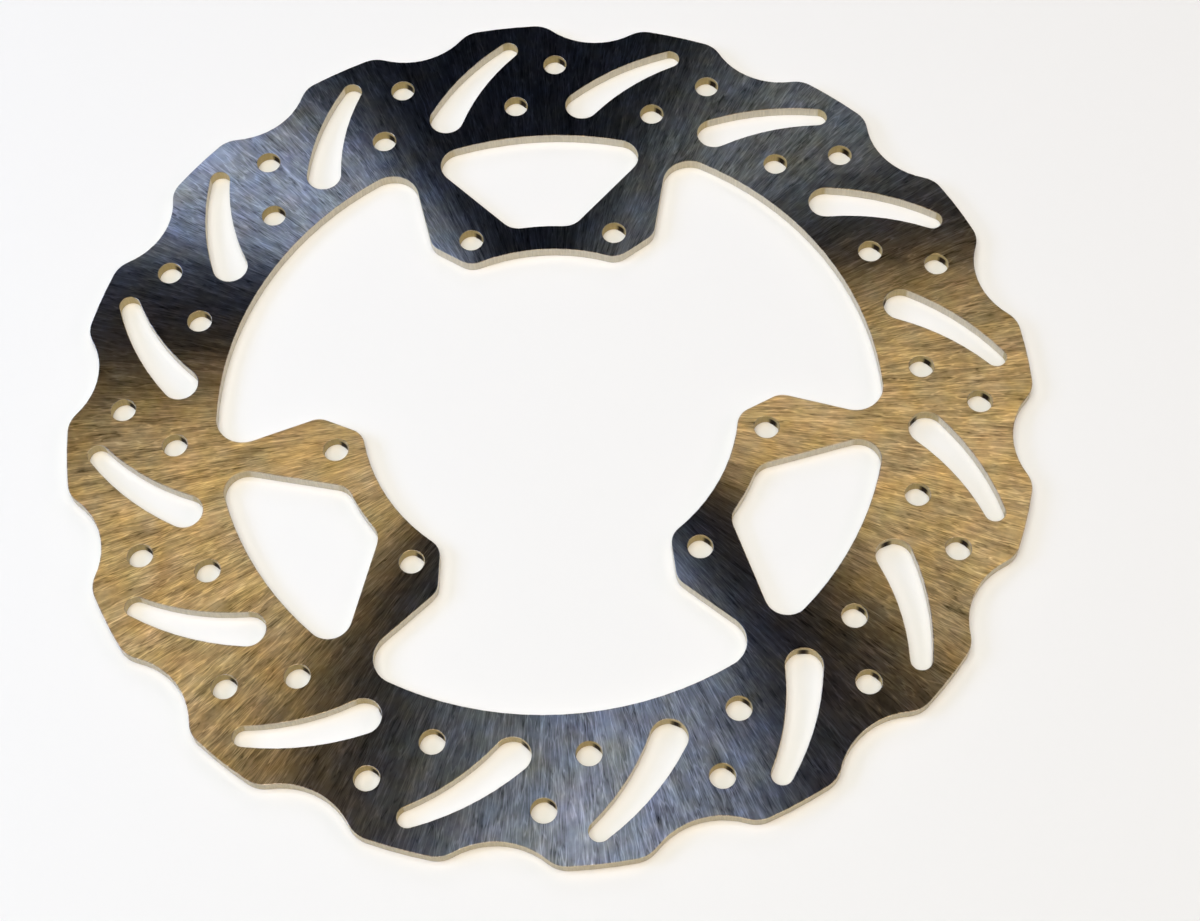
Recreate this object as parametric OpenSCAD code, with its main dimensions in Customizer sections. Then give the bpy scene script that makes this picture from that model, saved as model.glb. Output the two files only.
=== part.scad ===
// Wave-edged motorcycle brake disc: one flat plate with a braking band and bolting feet.
// The disc lies on its hub face: z = 0 is that face and +Z points away from the hub.
// The origin is on the wheel's axis, and the first foot points along +Y.

/* [Plate] */
// Diameter across the crests of the wavy edge
disc_d = 240; // [232:1:250]
// Thickness of the plate
disc_t = 3; // [2.5:0.1:5]
// Inside diameter of the braking band
band_id = 166; // [158:1:172]

/* [Wavy edge] */
// Number of waves, each with one slot and one pair of holes
wave_count = 16; // [14:1:18]
// Turn of the first crest from the first foot's centre line, in degrees
wave_turn = 3.7; // [0:0.1:22]
// Depth of a valley below the crests
wave_depth = 5.7; // [4:0.1:7]
// Radius of a valley
valley_r = 18.7; // [15:0.1:22]
// Radius that rounds each end of a crest
crest_corner_r = 7.2; // [5:0.1:9]

/* [Cleaning holes] */
// Diameter of the holes in the braking band
hole_d = 6.2; // [5:0.1:8]
// From the crests in to the centres of the outer holes
outer_hole_inset = 13.5; // [12:0.1:15]
// From the band's inside edge out to the inner holes and the slots' wide ends
inner_hole_inset = 10.25; // [9:0.05:12]
// Turn of an outer hole from the middle of its crest, in degrees
outer_hole_turn = 6.5; // [5.5:0.1:7.5]
// Turn of an inner hole from the middle of its crest, in degrees
inner_hole_turn = 0.2; // [-0.5:0.1:1]

/* [Slots] */
// Width of a slot at its inner end
slot_inner_w = 9; // [7:0.1:10]
// Width of a slot at its outer end
slot_outer_w = 5.2; // [4:0.1:6.4]
// From the crests in to the centres of the slots' outer ends
slot_tip_inset = 7.8; // [7:0.1:10]
// Angle that a slot sweeps between its two ends, in degrees
slot_sweep = 11.4; // [9.5:0.1:12.5]
// Bend radius of a slot's centre line
slot_bend_r = 62; // [45:1:110]

/* [Feet] */
// Number of bolting feet inside the band
foot_count = 3; // [3:1:4]
// Pitch circle diameter of the mounting holes
mount_pcd = 108; // [105:0.5:112]
// Diameter of the mounting holes
mount_d = 6.2; // [5.5:0.1:8.5]
// Angle between the two mounting holes of a foot, in degrees
mount_spread = 40; // [36:1:44]
// From the mounting holes' circle in to the edge of the hub opening
bore_inset = 7.2; // [6:0.1:9]
// From a mounting hole's centre to the foot's flank
flank_wall = 10.2; // [8:0.1:12]
// Lean of a flank away from the foot's centre line, in degrees
flank_lean = 11.5; // [6:0.5:18]
// From a mounting hole's centre to the bevelled toe
toe_wall = 6.7; // [6:0.1:8]
// Slope of the toe from square to the foot's centre line, in degrees
toe_slope = 34.3; // [28:0.1:42]
// Radius that rounds the toe's two corners
toe_r = 5; // [2:0.5:6]
// Radius where a flank runs into the band
root_r = 7; // [4:0.5:10]

/* [Windows] */
// Width of the bridge between the hub opening and a foot's window
bridge_w = 7.2; // [6:0.1:9]
// From a mounting hole's centre to the side of the window
window_wall = 9.5; // [8:0.1:11]
// Lean of a window's side away from the foot's centre line, in degrees
window_lean = 43.4; // [38:0.1:48]
// Radius that rounds the window's four corners
window_r = 5.5; // [3:0.5:6.5]

/* [Hidden] */
$fa = 3;
$fs = 0.8;

// Round corners overlap what they touch by this much, so that arcs cross instead of grazing
blend = 0.002;

crest_r = disc_d / 2;
band_r = band_id / 2;
bore_r = mount_pcd / 2 - bore_inset;
window_in_r = bore_r + bridge_w;

// Places in a wave, whose crest has its middle at angle 0
wave_pitch = 360 / wave_count;
valley_centre_r = crest_r - wave_depth + valley_r;
crest_corner_pitch_r = crest_r - crest_corner_r;
valley_half = acos((pow(crest_corner_pitch_r, 2) + pow(valley_centre_r, 2)
    - pow(valley_r + crest_corner_r, 2)) / (2 * crest_corner_pitch_r * valley_centre_r));
outer_hole_r = crest_r - outer_hole_inset;
inner_hole_r = band_r + inner_hole_inset;
slot_tip_r = crest_r - slot_tip_inset;

// A point at radius r and angle a
function at(r, a) = r * [cos(a), sin(a)];

function angle(p) = atan2(p[1], p[0]);

// A foot's first mounting hole, with the foot's centre line at angle 0
mount_at = at(mount_pcd / 2, mount_spread / 2);

// The line at distance c from the origin whose normal has angle a meets the circle of radius r:
// this is the outer of the two places
function line_meets_circle(a, c, r) = c * at(1, a) + sqrt(r * r - c * c) * at(1, a - 90);

// Where the lines with normals at angles a and b, at distances c and d from the origin, cross
function lines_meet(a, c, b, d) = [c * sin(b) - d * sin(a), d * cos(a) - c * cos(b)] / sin(b - a);

// Centre of the circle that lies at distances d1 from p1 and d2 from p2, right of the way from p1 to p2
function centre_between(p1, d1, p2, d2) =
    let (
        way = p2 - p1,
        along = (d1 * d1 - d2 * d2 + way * way) / (2 * norm(way)),
        across = sqrt(d1 * d1 - along * along)
    )
    p1 + (along * way + across * [way[1], -way[0]]) / norm(way);

// What lies outside a round of radius r about p, out to the corner that faces angles a and b
module corner(p, r, a, b) {
    reach = 1.5 * r;
    difference() {
        polygon([
            p,
            p + at(reach, a),
            p + reach * (at(1, a) + at(1, b)) / (1 + cos(a - b)),
            p + at(reach, b)
        ]);
        translate(p)
            circle(r + blend);
    }
}

// The mirror image of a point in the X axis
function mirrored(p) = [p[0], -p[1]];

// The shape and its mirror image in the X axis
module both_sides() {
    children();
    mirror([0, 1])
        children();
}

// One copy for each wave, with the crest's middle turned to angle 0
module each_wave() {
    for (i = [0 : wave_count - 1])
        rotate(90 + wave_turn + i * wave_pitch)
            children();
}

// One copy for each foot, with the foot's centre line turned to angle 0
module each_foot() {
    for (i = [0 : foot_count - 1])
        rotate(90 + i * 360 / foot_count)
            children();
}

// Cut for a valley at angle 0, with the rounded ends of the two crests beside it
module valley_cut() {
    valley_at = [valley_centre_r, 0];
    corner_at = at(crest_corner_pitch_r, valley_half);
    translate(valley_at)
        circle(valley_r);
    both_sides()
        corner(corner_at, crest_corner_r, angle(corner_at), angle(valley_at - corner_at));
}

// Curved slot, wide at the inner end: two round ends joined by two arcs that touch them both
module slot_cut() {
    wide_r = slot_inner_w / 2;
    tip_r = slot_outer_w / 2;
    wide_at = at(inner_hole_r, slot_sweep);
    tip_at = [slot_tip_r, 0];
    back_r = slot_bend_r + (wide_r + tip_r) / 2;
    belly_r = slot_bend_r - (wide_r + tip_r) / 2;
    back_at = centre_between(wide_at, back_r - wide_r, tip_at, back_r - tip_r);
    belly_at = centre_between(wide_at, belly_r + wide_r, tip_at, belly_r + tip_r);
    difference() {
        intersection() {
            translate(back_at)
                circle(back_r);
            polygon([
                wide_at,
                wide_at + at(slot_inner_w, angle(wide_at - back_at)),
                tip_at + at(slot_inner_w, angle(tip_at - back_at)),
                tip_at,
                tip_at + at(slot_inner_w, angle(belly_at - tip_at)),
                wide_at + at(slot_inner_w, angle(belly_at - wide_at))
            ]);
        }
        translate(belly_at)
            circle(belly_r);
    }
    translate(wide_at)
        circle(wide_r + blend);
    translate(tip_at)
        circle(tip_r + blend);
}

// Everything that is cut from the band for one wave, whose crest has its middle at angle 0
module wave_cuts() {
    rotate(wave_pitch / 2)
        valley_cut();
    slot_cut();
    translate(at(outer_hole_r, -outer_hole_turn))
        circle(hole_d / 2);
    translate(at(inner_hole_r, -inner_hole_turn))
        circle(hole_d / 2);
}

// Foot that reaches in past the band's inside edge, with bevelled toes and a round root at the band
module foot() {
    flank_a = 90 + flank_lean;
    flank_c = mount_at * at(1, flank_a) + flank_wall;
    toe_a = 180 - toe_slope;
    toe_c = mount_at * at(1, toe_a) + toe_wall;
    shoulder = lines_meet(flank_a, flank_c, toe_a, toe_c);
    heel = line_meets_circle(flank_a, flank_c, crest_r);
    root_at = line_meets_circle(flank_a, flank_c + root_r, band_r - root_r);
    shoulder_at = lines_meet(flank_a, flank_c - toe_r, toe_a, toe_c - toe_r);
    toe_at = line_meets_circle(toe_a, toe_c - toe_r, bore_r + toe_r);
    difference() {
        polygon([[toe_c / cos(toe_a), 0], shoulder, heel, mirrored(heel), mirrored(shoulder)]);
        circle(bore_r);
        both_sides() {
            corner(shoulder_at, toe_r, flank_a, toe_a);
            corner(toe_at, toe_r, toe_a, 180 + angle(toe_at));
        }
    }
    both_sides()
        corner(root_at, root_r, 180 + flank_a, angle(root_at));
}

// Window in a foot: it opens out towards the band's inside edge and has four round corners
module window_cut() {
    side_a = 90 + window_lean;
    side_c = mount_at * at(1, side_a) - window_wall;
    far = line_meets_circle(side_a, side_c, crest_r);
    outer_at = line_meets_circle(side_a, side_c - window_r, band_r - window_r);
    inner_at = line_meets_circle(side_a, side_c - window_r, window_in_r + window_r);
    difference() {
        intersection() {
            circle(band_r);
            polygon([[side_c / cos(side_a), 0], far, mirrored(far)]);
        }
        circle(window_in_r);
        both_sides() {
            corner(outer_at, window_r, side_a, angle(outer_at));
            corner(inner_at, window_r, side_a, 180 + angle(inner_at));
        }
    }
}

// The open middle of the disc: the hub opening and the bays between the feet
module middle_cut() {
    difference() {
        circle(band_r);
        each_foot()
            foot();
    }
}

module brake_disc() {
    color([0.55, 0.54, 0.52])
        linear_extrude(disc_t)
            difference() {
                circle(crest_r);
                middle_cut();
                each_foot() {
                    window_cut();
                    both_sides()
                        translate(mount_at)
                            circle(mount_d / 2);
                }
                each_wave()
                    wave_cuts();
            }
}

brake_disc();
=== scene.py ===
"""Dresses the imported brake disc: ground faces, broken edges, and the soft light it lies in."""

from math import cos, e, pi, radians, sin

import bpy
import numpy as np
from mathutils import Matrix, Vector


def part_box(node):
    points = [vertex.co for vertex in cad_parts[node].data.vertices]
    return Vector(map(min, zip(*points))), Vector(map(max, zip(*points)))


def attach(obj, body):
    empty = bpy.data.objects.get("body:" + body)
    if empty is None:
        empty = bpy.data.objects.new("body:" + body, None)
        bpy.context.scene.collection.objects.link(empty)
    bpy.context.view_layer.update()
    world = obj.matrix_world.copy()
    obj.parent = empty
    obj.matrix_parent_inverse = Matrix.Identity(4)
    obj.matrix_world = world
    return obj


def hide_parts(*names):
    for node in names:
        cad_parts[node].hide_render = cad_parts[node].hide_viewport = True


bl_info = {
    "name": "Wave Brake Disc",
    "version": (1, 0, 0),
    "blender": (4, 5, 0),
    "location": "View3D > Sidebar > Brake Disc",
    "description": "A flat wave-edged brake disc in ground steel, on a pale floor under soft light",
    "category": "Add Mesh",
}

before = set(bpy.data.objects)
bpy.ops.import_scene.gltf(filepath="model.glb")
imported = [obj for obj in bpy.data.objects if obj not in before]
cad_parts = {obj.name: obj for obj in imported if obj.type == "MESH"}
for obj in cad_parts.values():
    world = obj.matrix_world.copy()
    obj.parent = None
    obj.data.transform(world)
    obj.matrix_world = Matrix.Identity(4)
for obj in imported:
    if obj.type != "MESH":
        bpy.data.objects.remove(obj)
LOW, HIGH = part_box("brake_disc")
PLATE = HIGH[2] - LOW[2]
CREST = (HIGH[0] - LOW[0]) / 2
NEAR = 1e-6  # metres below the upper face within which a corner counts as on it
TINY = 1e-9  # keeps a division from being one by nothing

# The rims are told apart by the way round them, in metres
HOLE_RIM = 0.025  # a hole's rim is shorter than this
SLOT_RIM = (0.06, 0.1)  # a slot's is between these
OUTER_RIM = 0.7  # and only the wavy outer one is longer than this

# Bends of a rim, as one over the radius in metres
WIDE_END = (180, 260)  # the wide end of a slot bends between these
COOL_BEND = 126  # the cut stayed cool up to this bend
HOT_BEND = 216  # and ran hottest from this one on

# Where a cut began, the wall has a bead at its foot, and black painted shade low on the wall, standing in
# for the dark there
CUT_START = (-0.66, -0.75)  # the way that a hole's wall faces there
SHADE_AND_BEAD_REACH = 0.0008  # how far both run along the rim, to each side
PAINTED_SHADE_HEIGHT = (0.22, 0.48)  # the mark darkens between these shares of the plate, from the upper face down
BEAD_HEIGHT = (0.35, 0.2)  # the bead swells between these shares of the plate, from the lower face up

# The families of fine lines in the ground faces: lean in radians, width and length of a line in
# metres, shift along the noise, what is taken from it, and how much it adds to the brightness
FAMILIES = (
    (0.06, 0.0015, 0.0028, 0, "Line", 0.9),
    (-0.03, 0.0034, 0.014, 7, "Line", 1.2),
    (0.02, 0.008, 0.02, 11, "Line", 0.7),
    (0.03, 0.0021, 0.022, 15, "Scratch", 0.55),
    (-0.05, 0.0024, 0.018, 23, "Scratch", 0.5),
    (0.0, 0.0023, 0.02, 31, "Scratch", -0.35),
)
LINES_OFFSET = -0.53  # brings the mean of all the lines' sum back to a little under 1
THREAD = 0.028  # how far the noise may be from its middle inside a scratch
COOL_STEEL = (0.84, 0.95, 1.0, 1)  # the clouds tint the steel between this
WARM_STEEL = (1.04, 0.95, 0.5, 1)  # and this
HUE_CLOUDS = (0.12, 0.1, 0.5)  # and add up to this much red, green and blue
CLOUD = 1 / 150  # metres across a cloud
RIPPLE = (0.0004, 0.0004, 0.004)  # size of a ripple in the cut walls, in metres

# The lamps: name, way to it from the disc, distance and width in metres, power in watts, colour,
# and whether it shows in the steel, as a card, or lights the floor
LAMPS = (
    ("warm_card", (0.118, -0.641, 0.759), 0.7, 0.89, 10.1, (1.0, 0.669, 0.265), True),
    ("left_card", (-0.889, 0.024, 0.457), 0.55, 0.32, 2.1, (0.704, 0.803, 1.0), True),
    ("right_card", (0.638, 0.226, 0.736), 1.6, 0.636, 2.12, (0.936, 1.0, 0.981), True),
    ("top_lamp", (-0.1, -0.12, 0.98), 1.19, 1.3, 13.2, (0.994, 1.0, 0.928), False),
    ("left_lamp", (-0.866, 0.0, 0.5), 1.19, 0.5, 4.63, (0.542, 0.657, 1.0), False),
    ("back_lamp", (0.0, 0.866, 0.5), 1.19, 0.5, 2.29, (1.0, 0.88, 0.836), False),
    ("right_lamp", (0.866, 0.0, 0.5), 1.19, 0.5, 2.0, (1.0, 0.868, 0.889), False),
)
ROOM = (0.009, 0.012, 0.022, 1)  # the dim room that the steel reflects between the cards
LAMPLIT = (0.25, 0.65)  # metres from the wheel's axis, between which the lamps' light falls off
WALL_FOOT = 0.15  # height in metres up to which the sweep counts as floor


class DiscShape(bpy.types.PropertyGroup):
    edge_break: bpy.props.FloatProperty(
        name="Edge Break",
        description="Radius that takes the sharpness off both edges of every cut",
        default=0.0001,
        min=0.00005,
        max=0.0004,
        subtype="DISTANCE",
        unit="LENGTH",
    )
    break_steps: bpy.props.IntProperty(
        name="Break Steps",
        description="Facets that make up one broken edge",
        default=3,
        min=1,
        max=6,
    )
    bead: bpy.props.FloatProperty(
        name="Bead",
        description="How far the bead left low on the wall, where a cut began, stands in",
        default=0.00025,
        min=0,
        max=0.0006,
        subtype="DISTANCE",
        unit="LENGTH",
    )


class DiscFinish(bpy.types.PropertyGroup):
    steel: bpy.props.FloatVectorProperty(
        name="Steel",
        description="Colour of the ground steel",
        default=(0.37, 0.37, 0.385),
        subtype="COLOR",
        min=0,
        max=1,
    )
    cut: bpy.props.FloatVectorProperty(
        name="Cut Edge",
        description="Colour of the laser-cut walls",
        default=(0.645, 0.6, 0.495),
        subtype="COLOR",
        min=0,
        max=1,
    )
    scorched: bpy.props.FloatVectorProperty(
        name="Scorched Edge",
        description="Colour of the walls that turn tightly, where the cut ran hottest",
        default=(0.46, 0.375, 0.185),
        subtype="COLOR",
        min=0,
        max=1,
    )
    # Painted shade: the near-black painted low on the wall where a cut began, for the dark there
    painted_shade: bpy.props.FloatVectorProperty(
        name="Painted Shade",
        description="Colour of the painted shade on the wall where a cut began and ended",
        default=(0.01, 0.004, 0.001),
        subtype="COLOR",
        min=0,
        max=1,
    )


class DiscStudio(bpy.types.PropertyGroup):
    floor: bpy.props.FloatVectorProperty(
        name="Floor",
        description="Colour of the floor and the sweep behind it",
        default=(0.955, 0.945, 0.935),
        subtype="COLOR",
        min=0,
        max=1,
    )
    aim: bpy.props.FloatVectorProperty(
        name="Aim",
        description="Point on the floor that the camera looks at",
        default=(0.01174, -0.01466, 0.0),
        subtype="XYZ",
        unit="LENGTH",
    )
    distance: bpy.props.FloatProperty(
        name="Distance",
        description="From the camera to the point that it looks at",
        default=0.5952,
        subtype="DISTANCE",
        unit="LENGTH",
    )
    height: bpy.props.FloatProperty(
        name="Height Angle",
        description="How steeply the camera looks down",
        default=radians(60.95),
        subtype="ANGLE",
        unit="ROTATION",
    )
    roll: bpy.props.FloatProperty(
        name="Roll",
        description="How far the camera is turned clockwise about its own line of sight",
        default=radians(3.023),
        subtype="ANGLE",
        unit="ROTATION",
    )
    lens: bpy.props.FloatProperty(
        name="Lens",
        description="Focal length on a 36 mm wide sensor, in millimetres",
        default=72.42,
        min=20,
        max=200,
    )


# ---------------------------------------------------------------- shape


def joined_corners(mesh):
    """Places and triangles of a mesh whose triangles are loose: corners at one place, to a tenth of
    a micrometre, become one."""
    places = np.empty(len(mesh.vertices) * 3)
    mesh.vertices.foreach_get("co", places)
    corners = np.empty(len(mesh.loops), np.int32)
    mesh.loops.foreach_get("vertex_index", corners)
    places = places.reshape(-1, 3)
    _, first, same = np.unique(np.round(places, 7), axis=0, return_index=True, return_inverse=True)
    triangles = same.reshape(-1)[corners].reshape(-1, 3)
    a, b, c = triangles.T
    return places[first], triangles[(a != b) & (b != c) & (c != a)]


def outer_face(places, triangles):
    """The flat face that looks along +Z, as its own places (x, y) and triangles."""
    on_top = np.all(places[triangles][..., 2] > HIGH[2] - NEAR, axis=1)
    kept, same = np.unique(triangles[on_top], return_inverse=True)
    return places[kept][:, :2], same.reshape(-1, 3)


def rims(triangles):
    """Edges that only one triangle has, each running with the steel on its left."""
    edges = np.concatenate([triangles[:, [0, 1]], triangles[:, [1, 2]], triangles[:, [2, 0]]])
    count = triangles.max() + 1
    there = edges[:, 0].astype(np.int64) * count + edges[:, 1]
    back = edges[:, 1].astype(np.int64) * count + edges[:, 0]
    return edges[~np.isin(there, back)]


def away_from_steel(flat, rim):
    """At each corner of a rim, the way out of the steel: the two edges' right-hand normals n and m
    add up to s, and 2 s / |s|^2 reaches both offset edges."""
    along = flat[rim[:, 1]] - flat[rim[:, 0]]
    normal = np.stack([along[:, 1], -along[:, 0]], 1)
    normal /= np.linalg.norm(normal, axis=1)[:, None]
    total = np.zeros_like(flat)
    np.add.at(total, rim[:, 0], normal)
    np.add.at(total, rim[:, 1], normal)
    length = np.maximum((total**2).sum(1), TINY)[:, None]
    return 2 * total / length


def rim_turns(flat, rim):
    """At each corner of a rim, its inward bend (one over the radius), which rim it's on, and the
    length of that rim. With unit directions p before and q after a corner, and d the mean of the two
    edges' lengths, the bend is -asin(p x q) / d. A rim goes by its lowest corner, which every corner
    learns from the one 1, 2, 4, 8 and so on further along."""
    along = flat[rim[:, 1]] - flat[rim[:, 0]]
    length = np.linalg.norm(along, axis=1)
    along /= length[:, None]
    before, after, reach = np.zeros_like(flat), np.zeros_like(flat), np.full(len(flat), TINY)
    before[rim[:, 1]], after[rim[:, 0]] = along, along
    np.add.at(reach, rim[:, 0], length / 2)
    np.add.at(reach, rim[:, 1], length / 2)
    bend = -np.arcsin(np.clip(before[:, 0] * after[:, 1] - before[:, 1] * after[:, 0], -1, 1)) / reach
    following, loop = np.arange(len(flat)), np.arange(len(flat))
    following[rim[:, 0]] = rim[:, 1]
    doublings = len(flat).bit_length()
    for _ in range(doublings):
        loop = np.minimum(loop, loop[following])
        following = following[following]
    return bend, loop, np.bincount(loop[rim[:, 0]], length, len(flat))[loop]


def heats(bend, round_trip):
    """How hot each corner of a rim got as it was cut, from 0 to 1: a hole gives 1, the outer rim
    gives 0.3, and the others go from 0 at COOL_BEND to 0.8 at HOT_BEND."""
    tight = 0.8 * np.clip((bend - COOL_BEND) / (HOT_BEND - COOL_BEND), 0, 1)
    return np.where(round_trip < HOLE_RIM, 1, np.where(round_trip > OUTER_RIM, 0.3, tight))


def between(values, ends):
    """Where the values lie between the two ends."""
    return (values > ends[0]) & (values < ends[1])


def cut_starts(out, bend, loop, round_trip):
    """Where each cut began, which places the bead and the black painted shade: 1 within
    SHADE_AND_BEAD_REACH of it along the rim, 0 from twice that. A hole's began where its wall faces
    CUT_START, and a slot's at the tip of its wide end, where the wall faces the way F that the wide end's
    walls add up to. A wall that faces n is acos(n . F) / bend from there."""
    hole = round_trip < HOLE_RIM
    wide = between(round_trip, SLOT_RIM) & between(bend, WIDE_END)
    facing = np.stack([np.bincount(loop, out[:, k] * wide, len(out)) for k in (0, 1)], 1)[loop]
    facing[hole] = CUT_START
    size = np.linalg.norm(facing, axis=1) * np.linalg.norm(out, axis=1)
    apart = np.arccos(np.clip((out * facing).sum(1) / np.maximum(size, TINY), -1, 1))
    away = apart / np.maximum(bend, 1)
    return np.where(hole | wide, np.clip(2 - away / SHADE_AND_BEAD_REACH, 0, 1), 0)


def plate_mesh(edge_break, steps, bead):
    """The plate as one face, its copy below, and a wall profile carried round every rim.
    With r the edge break, t the plate and f from 0 to 90 degrees, the profile is
    (r sin f - r, t - r + r cos f) at the upper edge, out from the rim and up from the hub face, and
    the same turned over at the lower edge. Where a cut began, the wall also swells out of the steel
    by the bead over BEAD_HEIGHT, down to its foot."""
    flat, face = outer_face(*joined_corners(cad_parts["brake_disc"].data))
    rim = rims(face)
    out = away_from_steel(flat, rim)
    turn = np.linspace(0, pi / 2, steps + 1)
    inset = edge_break * (np.sin(turn) - 1)
    height = PLATE - edge_break + edge_break * np.cos(turn)
    inset = np.concatenate([inset, [0, 0], inset[::-1]])
    height = LOW[2] + np.concatenate([height, PLATE * np.array(BEAD_HEIGHT), PLATE - height[::-1]])
    rows, count = len(inset), len(flat)
    bend, loop, round_trip = rim_turns(flat, rim)
    bead_and_shade = cut_starts(out, bend, loop, round_trip)
    stands = np.repeat([0, bead], rows // 2)[:, None] * bead_and_shade
    places = np.empty((rows, count, 3))
    places[..., :2] = flat + (inset[:, None] + stands)[..., None] * out
    places[..., 2] = height[:, None]
    step = np.arange(rows - 1)[:, None] * count
    a, b = rim[:, 0][None, :], rim[:, 1][None, :]
    walls = np.stack([step + a, step + count + a, step + count + b, step + b], -1).reshape(-1, 4)
    base = (rows - 1) * count + face[:, ::-1]
    mesh = bpy.data.meshes.new("ground_plate")
    mesh.from_pydata(places.reshape(-1, 3), [], face.tolist() + base.tolist() + walls.tolist())
    # After the two faces come the wall's bands: the upper broken edge, three of cut wall, and the
    # lower broken edge. Broken edges are ground as the faces are.
    place = np.arange(len(mesh.polygons)) - 2 * len(face)
    cut = (place >= steps * len(rim)) & (place < (steps + 3) * len(rim))
    mesh.polygons.foreach_set("material_index", cut.astype(np.int32))
    mesh.polygons.foreach_set("use_smooth", place >= 0)
    # The second attribute marks where the bead stands and where black shade is painted on the wall
    for name, values in (("scorch", heats(bend, round_trip)), ("bead_and_shade", bead_and_shade)):
        mesh.attributes.new(name, "FLOAT", "POINT").data.foreach_set("value", np.tile(values, rows))
    if mesh.validate():
        raise RuntimeError("the plate's mesh isn't sound")
    mesh.update()
    return mesh


# ---------------------------------------------------------------- finish


def add(nodes, kind, **values):
    """A new node, with its named properties and, by name or number, its unlinked inputs."""
    node = nodes.new(kind)
    for name, value in values.items():
        if name == "inputs":
            for key, given in value.items():
                node.inputs[key].default_value = given
        else:
            setattr(node, name, value)
    return node


def new_material(name):
    """An empty material, with its nodes and links."""
    material = bpy.data.materials.new(name)
    material.use_nodes = True
    material.node_tree.nodes.clear()
    return material, material.node_tree.nodes, material.node_tree.links


def grind_group():
    """Fine lines that run out from the wheel's axis and lean by a given angle.
    The place (x, y) is turned about the axis by tan(lean) ln(r / crest), which gives a line that
    leans the same everywhere. Noise is read on a wide circle, at that angle, and slowly along r.
    Scratch is 1 where the noise passes its middle, and falls to 0 at THREAD away from it."""
    group = bpy.data.node_groups.new("Grind Lines", "ShaderNodeTree")
    put = group.interface.new_socket
    for name in ("Lean", "Width", "Length", "Shift"):
        put(name, in_out="INPUT", socket_type="NodeSocketFloat")
    for name in ("Line", "Scratch"):
        put(name, in_out="OUTPUT", socket_type="NodeSocketFloat")
    nodes, links = group.nodes, group.links
    given = nodes.new("NodeGroupInput")
    result = nodes.new("NodeGroupOutput")
    place = add(nodes, "ShaderNodeTexCoord")
    flat = add(nodes, "ShaderNodeVectorMath", operation="MULTIPLY", inputs={1: (1, 1, 0)})
    radius = add(nodes, "ShaderNodeVectorMath", operation="LENGTH")
    share = add(nodes, "ShaderNodeMath", operation="DIVIDE", inputs={1: CREST})
    log = add(nodes, "ShaderNodeMath", operation="LOGARITHM", inputs={1: e})
    turn = add(nodes, "ShaderNodeMath", operation="MULTIPLY")
    unit = add(nodes, "ShaderNodeVectorMath", operation="NORMALIZE")
    turned = add(nodes, "ShaderNodeVectorRotate", rotation_type="Z_AXIS")
    wide = add(nodes, "ShaderNodeMath", operation="DIVIDE", inputs={0: CREST})
    spread = add(nodes, "ShaderNodeVectorMath", operation="SCALE")
    along = add(nodes, "ShaderNodeMath", operation="DIVIDE")
    moved = add(nodes, "ShaderNodeMath", operation="ADD")
    lift = add(nodes, "ShaderNodeCombineXYZ")
    whole = add(nodes, "ShaderNodeVectorMath", operation="ADD")
    noise = add(nodes, "ShaderNodeTexNoise", inputs={"Scale": 1, "Detail": 2, "Roughness": 0.6})
    links.new(place.outputs["Object"], flat.inputs[0])
    links.new(flat.outputs[0], radius.inputs[0])
    links.new(radius.outputs["Value"], share.inputs[0])
    links.new(share.outputs[0], log.inputs[0])
    links.new(log.outputs[0], turn.inputs[0])
    links.new(given.outputs["Lean"], turn.inputs[1])
    links.new(flat.outputs[0], unit.inputs[0])
    links.new(unit.outputs[0], turned.inputs["Vector"])
    links.new(turn.outputs[0], turned.inputs["Angle"])
    links.new(given.outputs["Width"], wide.inputs[1])
    links.new(turned.outputs[0], spread.inputs[0])
    links.new(wide.outputs[0], spread.inputs["Scale"])
    links.new(radius.outputs["Value"], along.inputs[0])
    links.new(given.outputs["Length"], along.inputs[1])
    links.new(along.outputs[0], moved.inputs[0])
    links.new(given.outputs["Shift"], moved.inputs[1])
    links.new(moved.outputs[0], lift.inputs["Z"])
    links.new(spread.outputs[0], whole.inputs[0])
    links.new(lift.outputs[0], whole.inputs[1])
    links.new(whole.outputs[0], noise.inputs["Vector"])
    links.new(noise.outputs["Fac"], result.inputs["Line"])
    apart = add(nodes, "ShaderNodeMath", operation="SUBTRACT", inputs={1: 0.5})
    size = add(nodes, "ShaderNodeMath", operation="ABSOLUTE")
    thread = add(nodes, "ShaderNodeMapRange", inputs={"From Min": THREAD, "From Max": 0})
    links.new(noise.outputs["Fac"], apart.inputs[0])
    links.new(apart.outputs[0], size.inputs[0])
    links.new(size.outputs[0], thread.inputs["Value"])
    links.new(thread.outputs[0], result.inputs["Scratch"])
    return group


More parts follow.
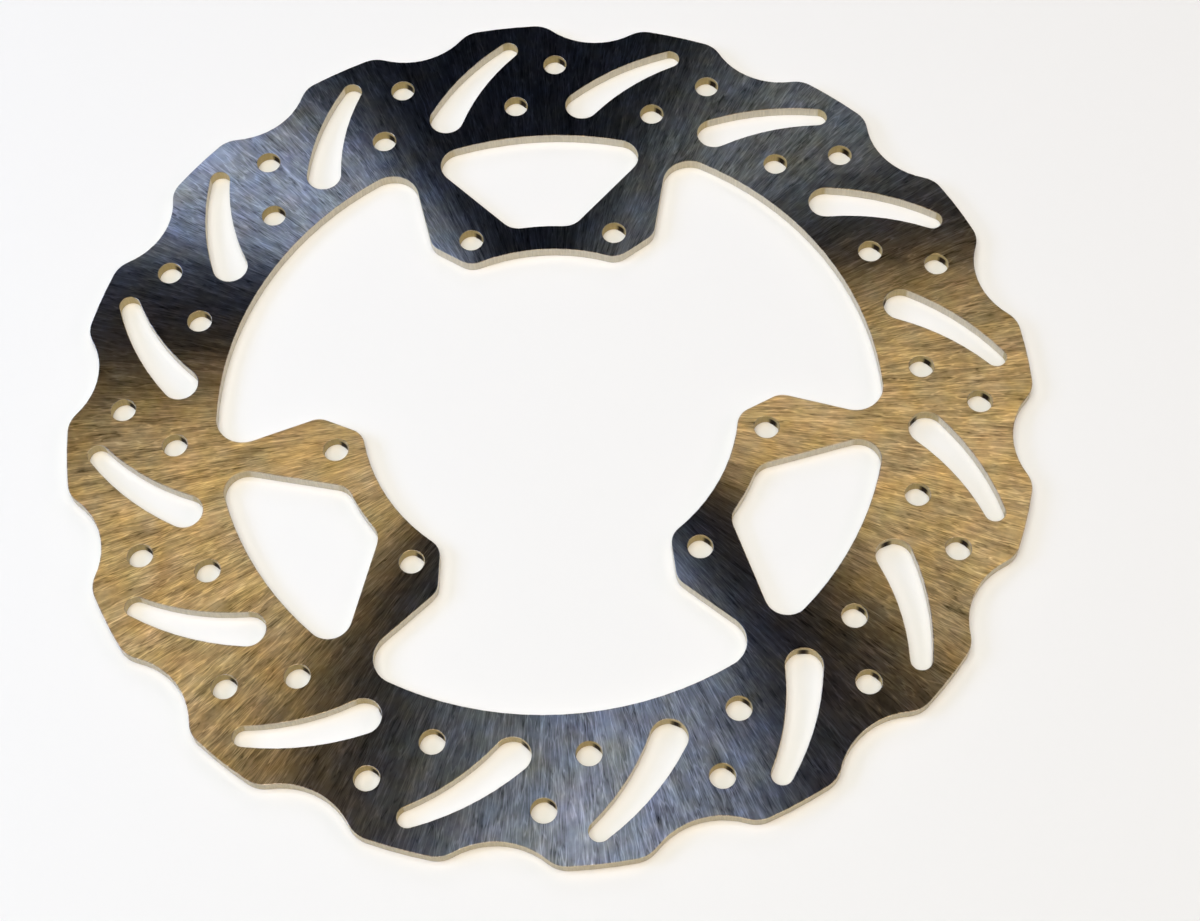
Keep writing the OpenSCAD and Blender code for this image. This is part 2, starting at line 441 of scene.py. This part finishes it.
def ground_face(finish, lines):
    """Steel ground with a wheel that swept in and out: it reflects widely round the disc and
    tightly along the lines, which differ in brightness and height, under faint clouds of hue. The
    brightness is the sum of amount x line over the families, plus LINES_OFFSET."""
    material, nodes, links = new_material("ground_face")
    surface = add(
        nodes,
        "ShaderNodeBsdfPrincipled",
        inputs={"Metallic": 1.0, "Roughness": 0.4, "Anisotropic": 1.0},
    )
    tangent = add(nodes, "ShaderNodeTangent", direction_type="RADIAL", axis="Z")
    links.new(tangent.outputs[0], surface.inputs["Tangent"])
    total = None
    for lean, width, length, shift, socket, amount in FAMILIES:
        family = add(
            nodes,
            "ShaderNodeGroup",
            node_tree=lines,
            inputs={"Lean": lean, "Width": width, "Length": length, "Shift": shift},
        )
        share = add(nodes, "ShaderNodeMath", operation="MULTIPLY_ADD", inputs={1: amount, 2: 0})
        links.new(family.outputs[socket], share.inputs[0])
        if total:
            links.new(total.outputs[0], share.inputs[2])
        total = share
    bright = add(nodes, "ShaderNodeMath", operation="ADD", inputs={1: LINES_OFFSET})
    links.new(total.outputs[0], bright.inputs[0])
    place = add(nodes, "ShaderNodeTexCoord")
    cloud = add(nodes, "ShaderNodeTexNoise", inputs={"Scale": 1 / CLOUD, "Detail": 2, "Roughness": 0.5})
    links.new(place.outputs["Object"], cloud.inputs["Vector"])
    warmth = add(nodes, "ShaderNodeMix", data_type="RGBA", clamp_factor=False)
    warmth.inputs["A"].default_value = COOL_STEEL
    warmth.inputs["B"].default_value = WARM_STEEL
    links.new(cloud.outputs["Fac"], warmth.inputs["Factor"])
    hue = add(nodes, "ShaderNodeVectorMath", operation="MULTIPLY_ADD", inputs={1: HUE_CLOUDS})
    links.new(cloud.outputs["Color"], hue.inputs[0])
    links.new(warmth.outputs["Result"], hue.inputs[2])
    steel = add(nodes, "ShaderNodeVectorMath", operation="MULTIPLY", inputs={1: tuple(finish.steel)})
    links.new(hue.outputs[0], steel.inputs[0])
    shade = add(nodes, "ShaderNodeVectorMath", operation="SCALE")
    links.new(steel.outputs[0], shade.inputs[0])
    links.new(bright.outputs[0], shade.inputs["Scale"])
    links.new(shade.outputs[0], surface.inputs["Base Color"])
    bump = add(nodes, "ShaderNodeBump", inputs={"Strength": 1.0, "Distance": 0.00002})
    links.new(total.outputs[0], bump.inputs["Height"])
    links.new(bump.outputs[0], surface.inputs["Normal"])
    result = add(nodes, "ShaderNodeOutputMaterial")
    links.new(surface.outputs[0], result.inputs["Surface"])
    return material


def cut_wall(finish):
    """Cut wall: fine upright ripples, scorched where the cut ran hot, and black painted shade low down
    where each cut began and ended."""
    material, nodes, links = new_material("cut_wall")
    surface = add(
        nodes,
        "ShaderNodeBsdfPrincipled",
        inputs={"Metallic": 0.3, "Roughness": 0.45, "Specular IOR Level": 0.15},
    )
    place = add(nodes, "ShaderNodeTexCoord")
    squeeze = add(nodes, "ShaderNodeMapping", inputs={"Scale": [1 / size for size in RIPPLE]})
    ripple = add(nodes, "ShaderNodeTexNoise", inputs={"Scale": 1, "Detail": 2, "Roughness": 0.6})
    links.new(place.outputs["Object"], squeeze.inputs["Vector"])
    links.new(squeeze.outputs[0], ripple.inputs["Vector"])
    heat = add(nodes, "ShaderNodeAttribute", attribute_type="GEOMETRY", attribute_name="scorch")
    colour = add(nodes, "ShaderNodeMix", data_type="RGBA", clamp_factor=True)
    colour.inputs["A"].default_value = (*finish.cut, 1)
    colour.inputs["B"].default_value = (*finish.scorched, 1)
    links.new(heat.outputs["Fac"], colour.inputs["Factor"])
    # Painted shade: low on the wall, where each cut began, the colour goes over to near-black
    bead_and_shade = add(nodes, "ShaderNodeAttribute", attribute_type="GEOMETRY", attribute_name="bead_and_shade")
    split = add(nodes, "ShaderNodeSeparateXYZ")
    top, foot = (HIGH[2] - share * PLATE for share in PAINTED_SHADE_HEIGHT)
    low = add(
        nodes,
        "ShaderNodeMapRange",
        interpolation_type="SMOOTHSTEP",
        inputs={"From Min": top, "From Max": foot},
    )
    links.new(place.outputs["Object"], split.inputs[0])
    links.new(split.outputs["Z"], low.inputs["Value"])
    painted_shade_mask = add(nodes, "ShaderNodeMath", operation="MULTIPLY")
    links.new(bead_and_shade.outputs["Fac"], painted_shade_mask.inputs[0])
    links.new(low.outputs[0], painted_shade_mask.inputs[1])
    bright = add(nodes, "ShaderNodeMath", operation="MULTIPLY_ADD", inputs={1: 0.5, 2: 0.75})
    links.new(ripple.outputs["Fac"], bright.inputs[0])
    shade = add(nodes, "ShaderNodeVectorMath", operation="SCALE")
    links.new(colour.outputs["Result"], shade.inputs[0])
    links.new(bright.outputs[0], shade.inputs["Scale"])
    with_painted_shade = add(nodes, "ShaderNodeMix", data_type="RGBA", clamp_factor=True)
    with_painted_shade.inputs["B"].default_value = (*finish.painted_shade, 1)
    links.new(painted_shade_mask.outputs[0], with_painted_shade.inputs["Factor"])
    links.new(shade.outputs[0], with_painted_shade.inputs["A"])
    links.new(with_painted_shade.outputs["Result"], surface.inputs["Base Color"])
    bump = add(nodes, "ShaderNodeBump", inputs={"Strength": 0.5, "Distance": 0.00002})
    links.new(ripple.outputs["Fac"], bump.inputs["Height"])
    links.new(bump.outputs[0], surface.inputs["Normal"])
    result = add(nodes, "ShaderNodeOutputMaterial")
    links.new(surface.outputs[0], result.inputs["Surface"])
    return material


class BRAKEDISC_OT_plate(bpy.types.Operator):
    """Make the ground plate that stands for the solid"""

    bl_idname = "brakedisc.plate"
    bl_label = "Ground Plate"

    def execute(self, context):
        shape, finish = context.scene.disc_shape, context.scene.disc_finish
        mesh = plate_mesh(shape.edge_break, shape.break_steps, shape.bead)
        mesh.materials.append(ground_face(finish, grind_group()))
        mesh.materials.append(cut_wall(finish))
        plate = bpy.data.objects.new("ground_plate", mesh)
        context.collection.objects.link(plate)
        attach(plate, "root")
        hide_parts("brake_disc")
        return {"FINISHED"}


# ---------------------------------------------------------------- stage


def sweep_mesh(middle, reach, rise, rings, spokes):
    """Floor that turns up into a wall all round: the profile (r, 0) from the flat middle out to
    reach, then the quarter circle (reach + h sin f, h - h cos f), carried round the axis."""
    f = np.linspace(0, pi / 2, rings)
    r = np.concatenate([[middle], reach + rise * np.sin(f)])
    z = np.concatenate([[0.0], rise - rise * np.cos(f)])
    a = np.arange(spokes) * 2 * pi / spokes
    x, y = r[:, None] * np.cos(a), r[:, None] * np.sin(a)
    ring = np.stack([x, y, np.repeat(z[:, None], spokes, 1)], -1)
    i, j = np.meshgrid(np.arange(len(r) - 1), np.arange(spokes), indexing="ij")
    k = (j + 1) % spokes
    quads = np.stack([i * spokes + j, (i + 1) * spokes + j, (i + 1) * spokes + k, i * spokes + k], -1)
    mesh = bpy.data.meshes.new("floor")
    mesh.from_pydata(ring.reshape(-1, 3), [], quads.reshape(-1, 4).tolist() + [list(range(spokes))])
    mesh.polygons.foreach_set("use_smooth", np.ones(len(mesh.polygons), bool))
    mesh.update()
    return mesh


def floor_finish(colour):
    """Matt floor. Further out than the lamps reach, over LAMPLIT, it goes over to its plain colour,
    so that it stays as pale in a low view as it is round the disc. That holds for what looks at it,
    also in a reflection or through glass, and lights nothing. Above WALL_FOOT the wall stays dim."""
    material, nodes, links = new_material("pale_floor")
    material.cycles.emission_sampling = "NONE"
    matt = add(
        nodes,
        "ShaderNodeBsdfPrincipled",
        inputs={"Base Color": (*colour, 1), "Roughness": 0.9},
    )
    shown = add(nodes, "ShaderNodeEmission", inputs={"Color": (*colour, 1), "Strength": 0.92})
    place = add(nodes, "ShaderNodeTexCoord")
    distance = add(nodes, "ShaderNodeVectorMath", operation="LENGTH")
    far = add(
        nodes,
        "ShaderNodeMapRange",
        interpolation_type="SMOOTHSTEP",
        inputs={"From Min": LAMPLIT[0], "From Max": LAMPLIT[1]},
    )
    split = add(nodes, "ShaderNodeSeparateXYZ")
    low = add(nodes, "ShaderNodeMapRange", inputs={"From Min": WALL_FOOT, "From Max": 0})
    links.new(place.outputs["Object"], distance.inputs[0])
    links.new(distance.outputs["Value"], far.inputs["Value"])
    links.new(place.outputs["Object"], split.inputs[0])
    links.new(split.outputs["Z"], low.inputs["Value"])
    path = add(nodes, "ShaderNodeLightPath")
    straight = add(nodes, "ShaderNodeMath", operation="ADD")
    looks = add(nodes, "ShaderNodeMath", operation="ADD", use_clamp=True)
    links.new(path.outputs["Is Camera Ray"], straight.inputs[0])
    links.new(path.outputs["Is Glossy Ray"], straight.inputs[1])
    links.new(straight.outputs[0], looks.inputs[0])
    links.new(path.outputs["Is Transmission Ray"], looks.inputs[1])
    flat = add(nodes, "ShaderNodeMath", operation="MULTIPLY")
    seen = add(nodes, "ShaderNodeMath", operation="MULTIPLY")
    links.new(far.outputs["Result"], flat.inputs[0])
    links.new(low.outputs["Result"], flat.inputs[1])
    links.new(flat.outputs[0], seen.inputs[0])
    links.new(looks.outputs[0], seen.inputs[1])
    mixed = add(nodes, "ShaderNodeMixShader")
    result = add(nodes, "ShaderNodeOutputMaterial")
    links.new(seen.outputs[0], mixed.inputs[0])
    links.new(matt.outputs[0], mixed.inputs[1])
    links.new(shown.outputs[0], mixed.inputs[2])
    links.new(mixed.outputs[0], result.inputs["Surface"])
    return material


def lamp(context, name, toward, distance, size, power, colour, lights_steel):
    """Round soft lamp that shines at the middle of the disc from the direction given. It shows in
    the steel as a coloured card would, or it lights the floor."""
    light = bpy.data.lights.new(name, "AREA")
    light.shape = "DISK"
    light.size = size
    light.energy = power
    light.color = colour
    placed = bpy.data.objects.new(name, light)
    way = Vector(toward).normalized()
    placed.location = way * distance
    placed.rotation_euler = way.to_track_quat("Z", "Y").to_euler()
    placed.visible_camera = False
    placed.visible_glossy = lights_steel
    placed.visible_diffuse = not lights_steel
    context.collection.objects.link(placed)


class BRAKEDISC_OT_stage(bpy.types.Operator):
    """Make the floor, the lamps, the world and the camera"""

    bl_idname = "brakedisc.stage"
    bl_label = "Stage"

    def execute(self, context):
        scene, studio = context.scene, context.scene.disc_studio
        mesh = sweep_mesh(middle=0.3, reach=2.5, rise=1.5, rings=12, spokes=64)
        mesh.materials.append(floor_finish(studio.floor))
        floor = bpy.data.objects.new("floor", mesh)
        context.collection.objects.link(floor)

        for each in LAMPS:
            lamp(context, *each)

        world = bpy.data.worlds.new("room")
        world.use_nodes = True
        world.node_tree.nodes["Background"].inputs["Color"].default_value = ROOM
        scene.world = world

        eye = bpy.data.cameras.new("camera")
        eye.lens = studio.lens
        eye.sensor_width = 36
        camera = bpy.data.objects.new("camera", eye)
        aim, height = Vector(studio.aim), studio.height
        camera.location = aim + studio.distance * Vector((0, -cos(height), sin(height)))
        turn = Matrix.Rotation(pi / 2 - height, 3, "X") @ Matrix.Rotation(-studio.roll, 3, "Z")
        camera.rotation_euler = turn.to_euler()
        context.collection.objects.link(camera)
        scene.camera = camera
        scene.view_settings.view_transform = "Standard"
        return {"FINISHED"}


class BRAKEDISC_PT_sidebar(bpy.types.Panel):
    """The disc's sizes and colours, and the buttons that make it"""

    bl_label = "Brake Disc"
    bl_idname = "BRAKEDISC_PT_sidebar"
    bl_space_type = "VIEW_3D"
    bl_region_type = "UI"
    bl_category = "Brake Disc"

    def draw(self, context):
        scene = context.scene
        for group, maker in (
            (scene.disc_shape, BRAKEDISC_OT_plate),
            (scene.disc_finish, None),
            (scene.disc_studio, BRAKEDISC_OT_stage),
        ):
            box = self.layout.box()
            for name in group.__annotations__:
                box.prop(group, name)
            if maker:
                box.operator(maker.bl_idname)


CLASSES = (
    DiscShape,
    DiscFinish,
    DiscStudio,
    BRAKEDISC_OT_plate,
    BRAKEDISC_OT_stage,
    BRAKEDISC_PT_sidebar,
)


def register():
    for each in CLASSES:
        bpy.utils.register_class(each)
    bpy.types.Scene.disc_shape = bpy.props.PointerProperty(type=DiscShape)
    bpy.types.Scene.disc_finish = bpy.props.PointerProperty(type=DiscFinish)
    bpy.types.Scene.disc_studio = bpy.props.PointerProperty(type=DiscStudio)


def unregister():
    for name in ("disc_shape", "disc_finish", "disc_studio"):
        delattr(bpy.types.Scene, name)
    for each in reversed(CLASSES):
        bpy.utils.unregister_class(each)


def main():
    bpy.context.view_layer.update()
    register()
    bpy.ops.brakedisc.plate()
    bpy.ops.brakedisc.stage()


if __name__ == "__main__":
    main()
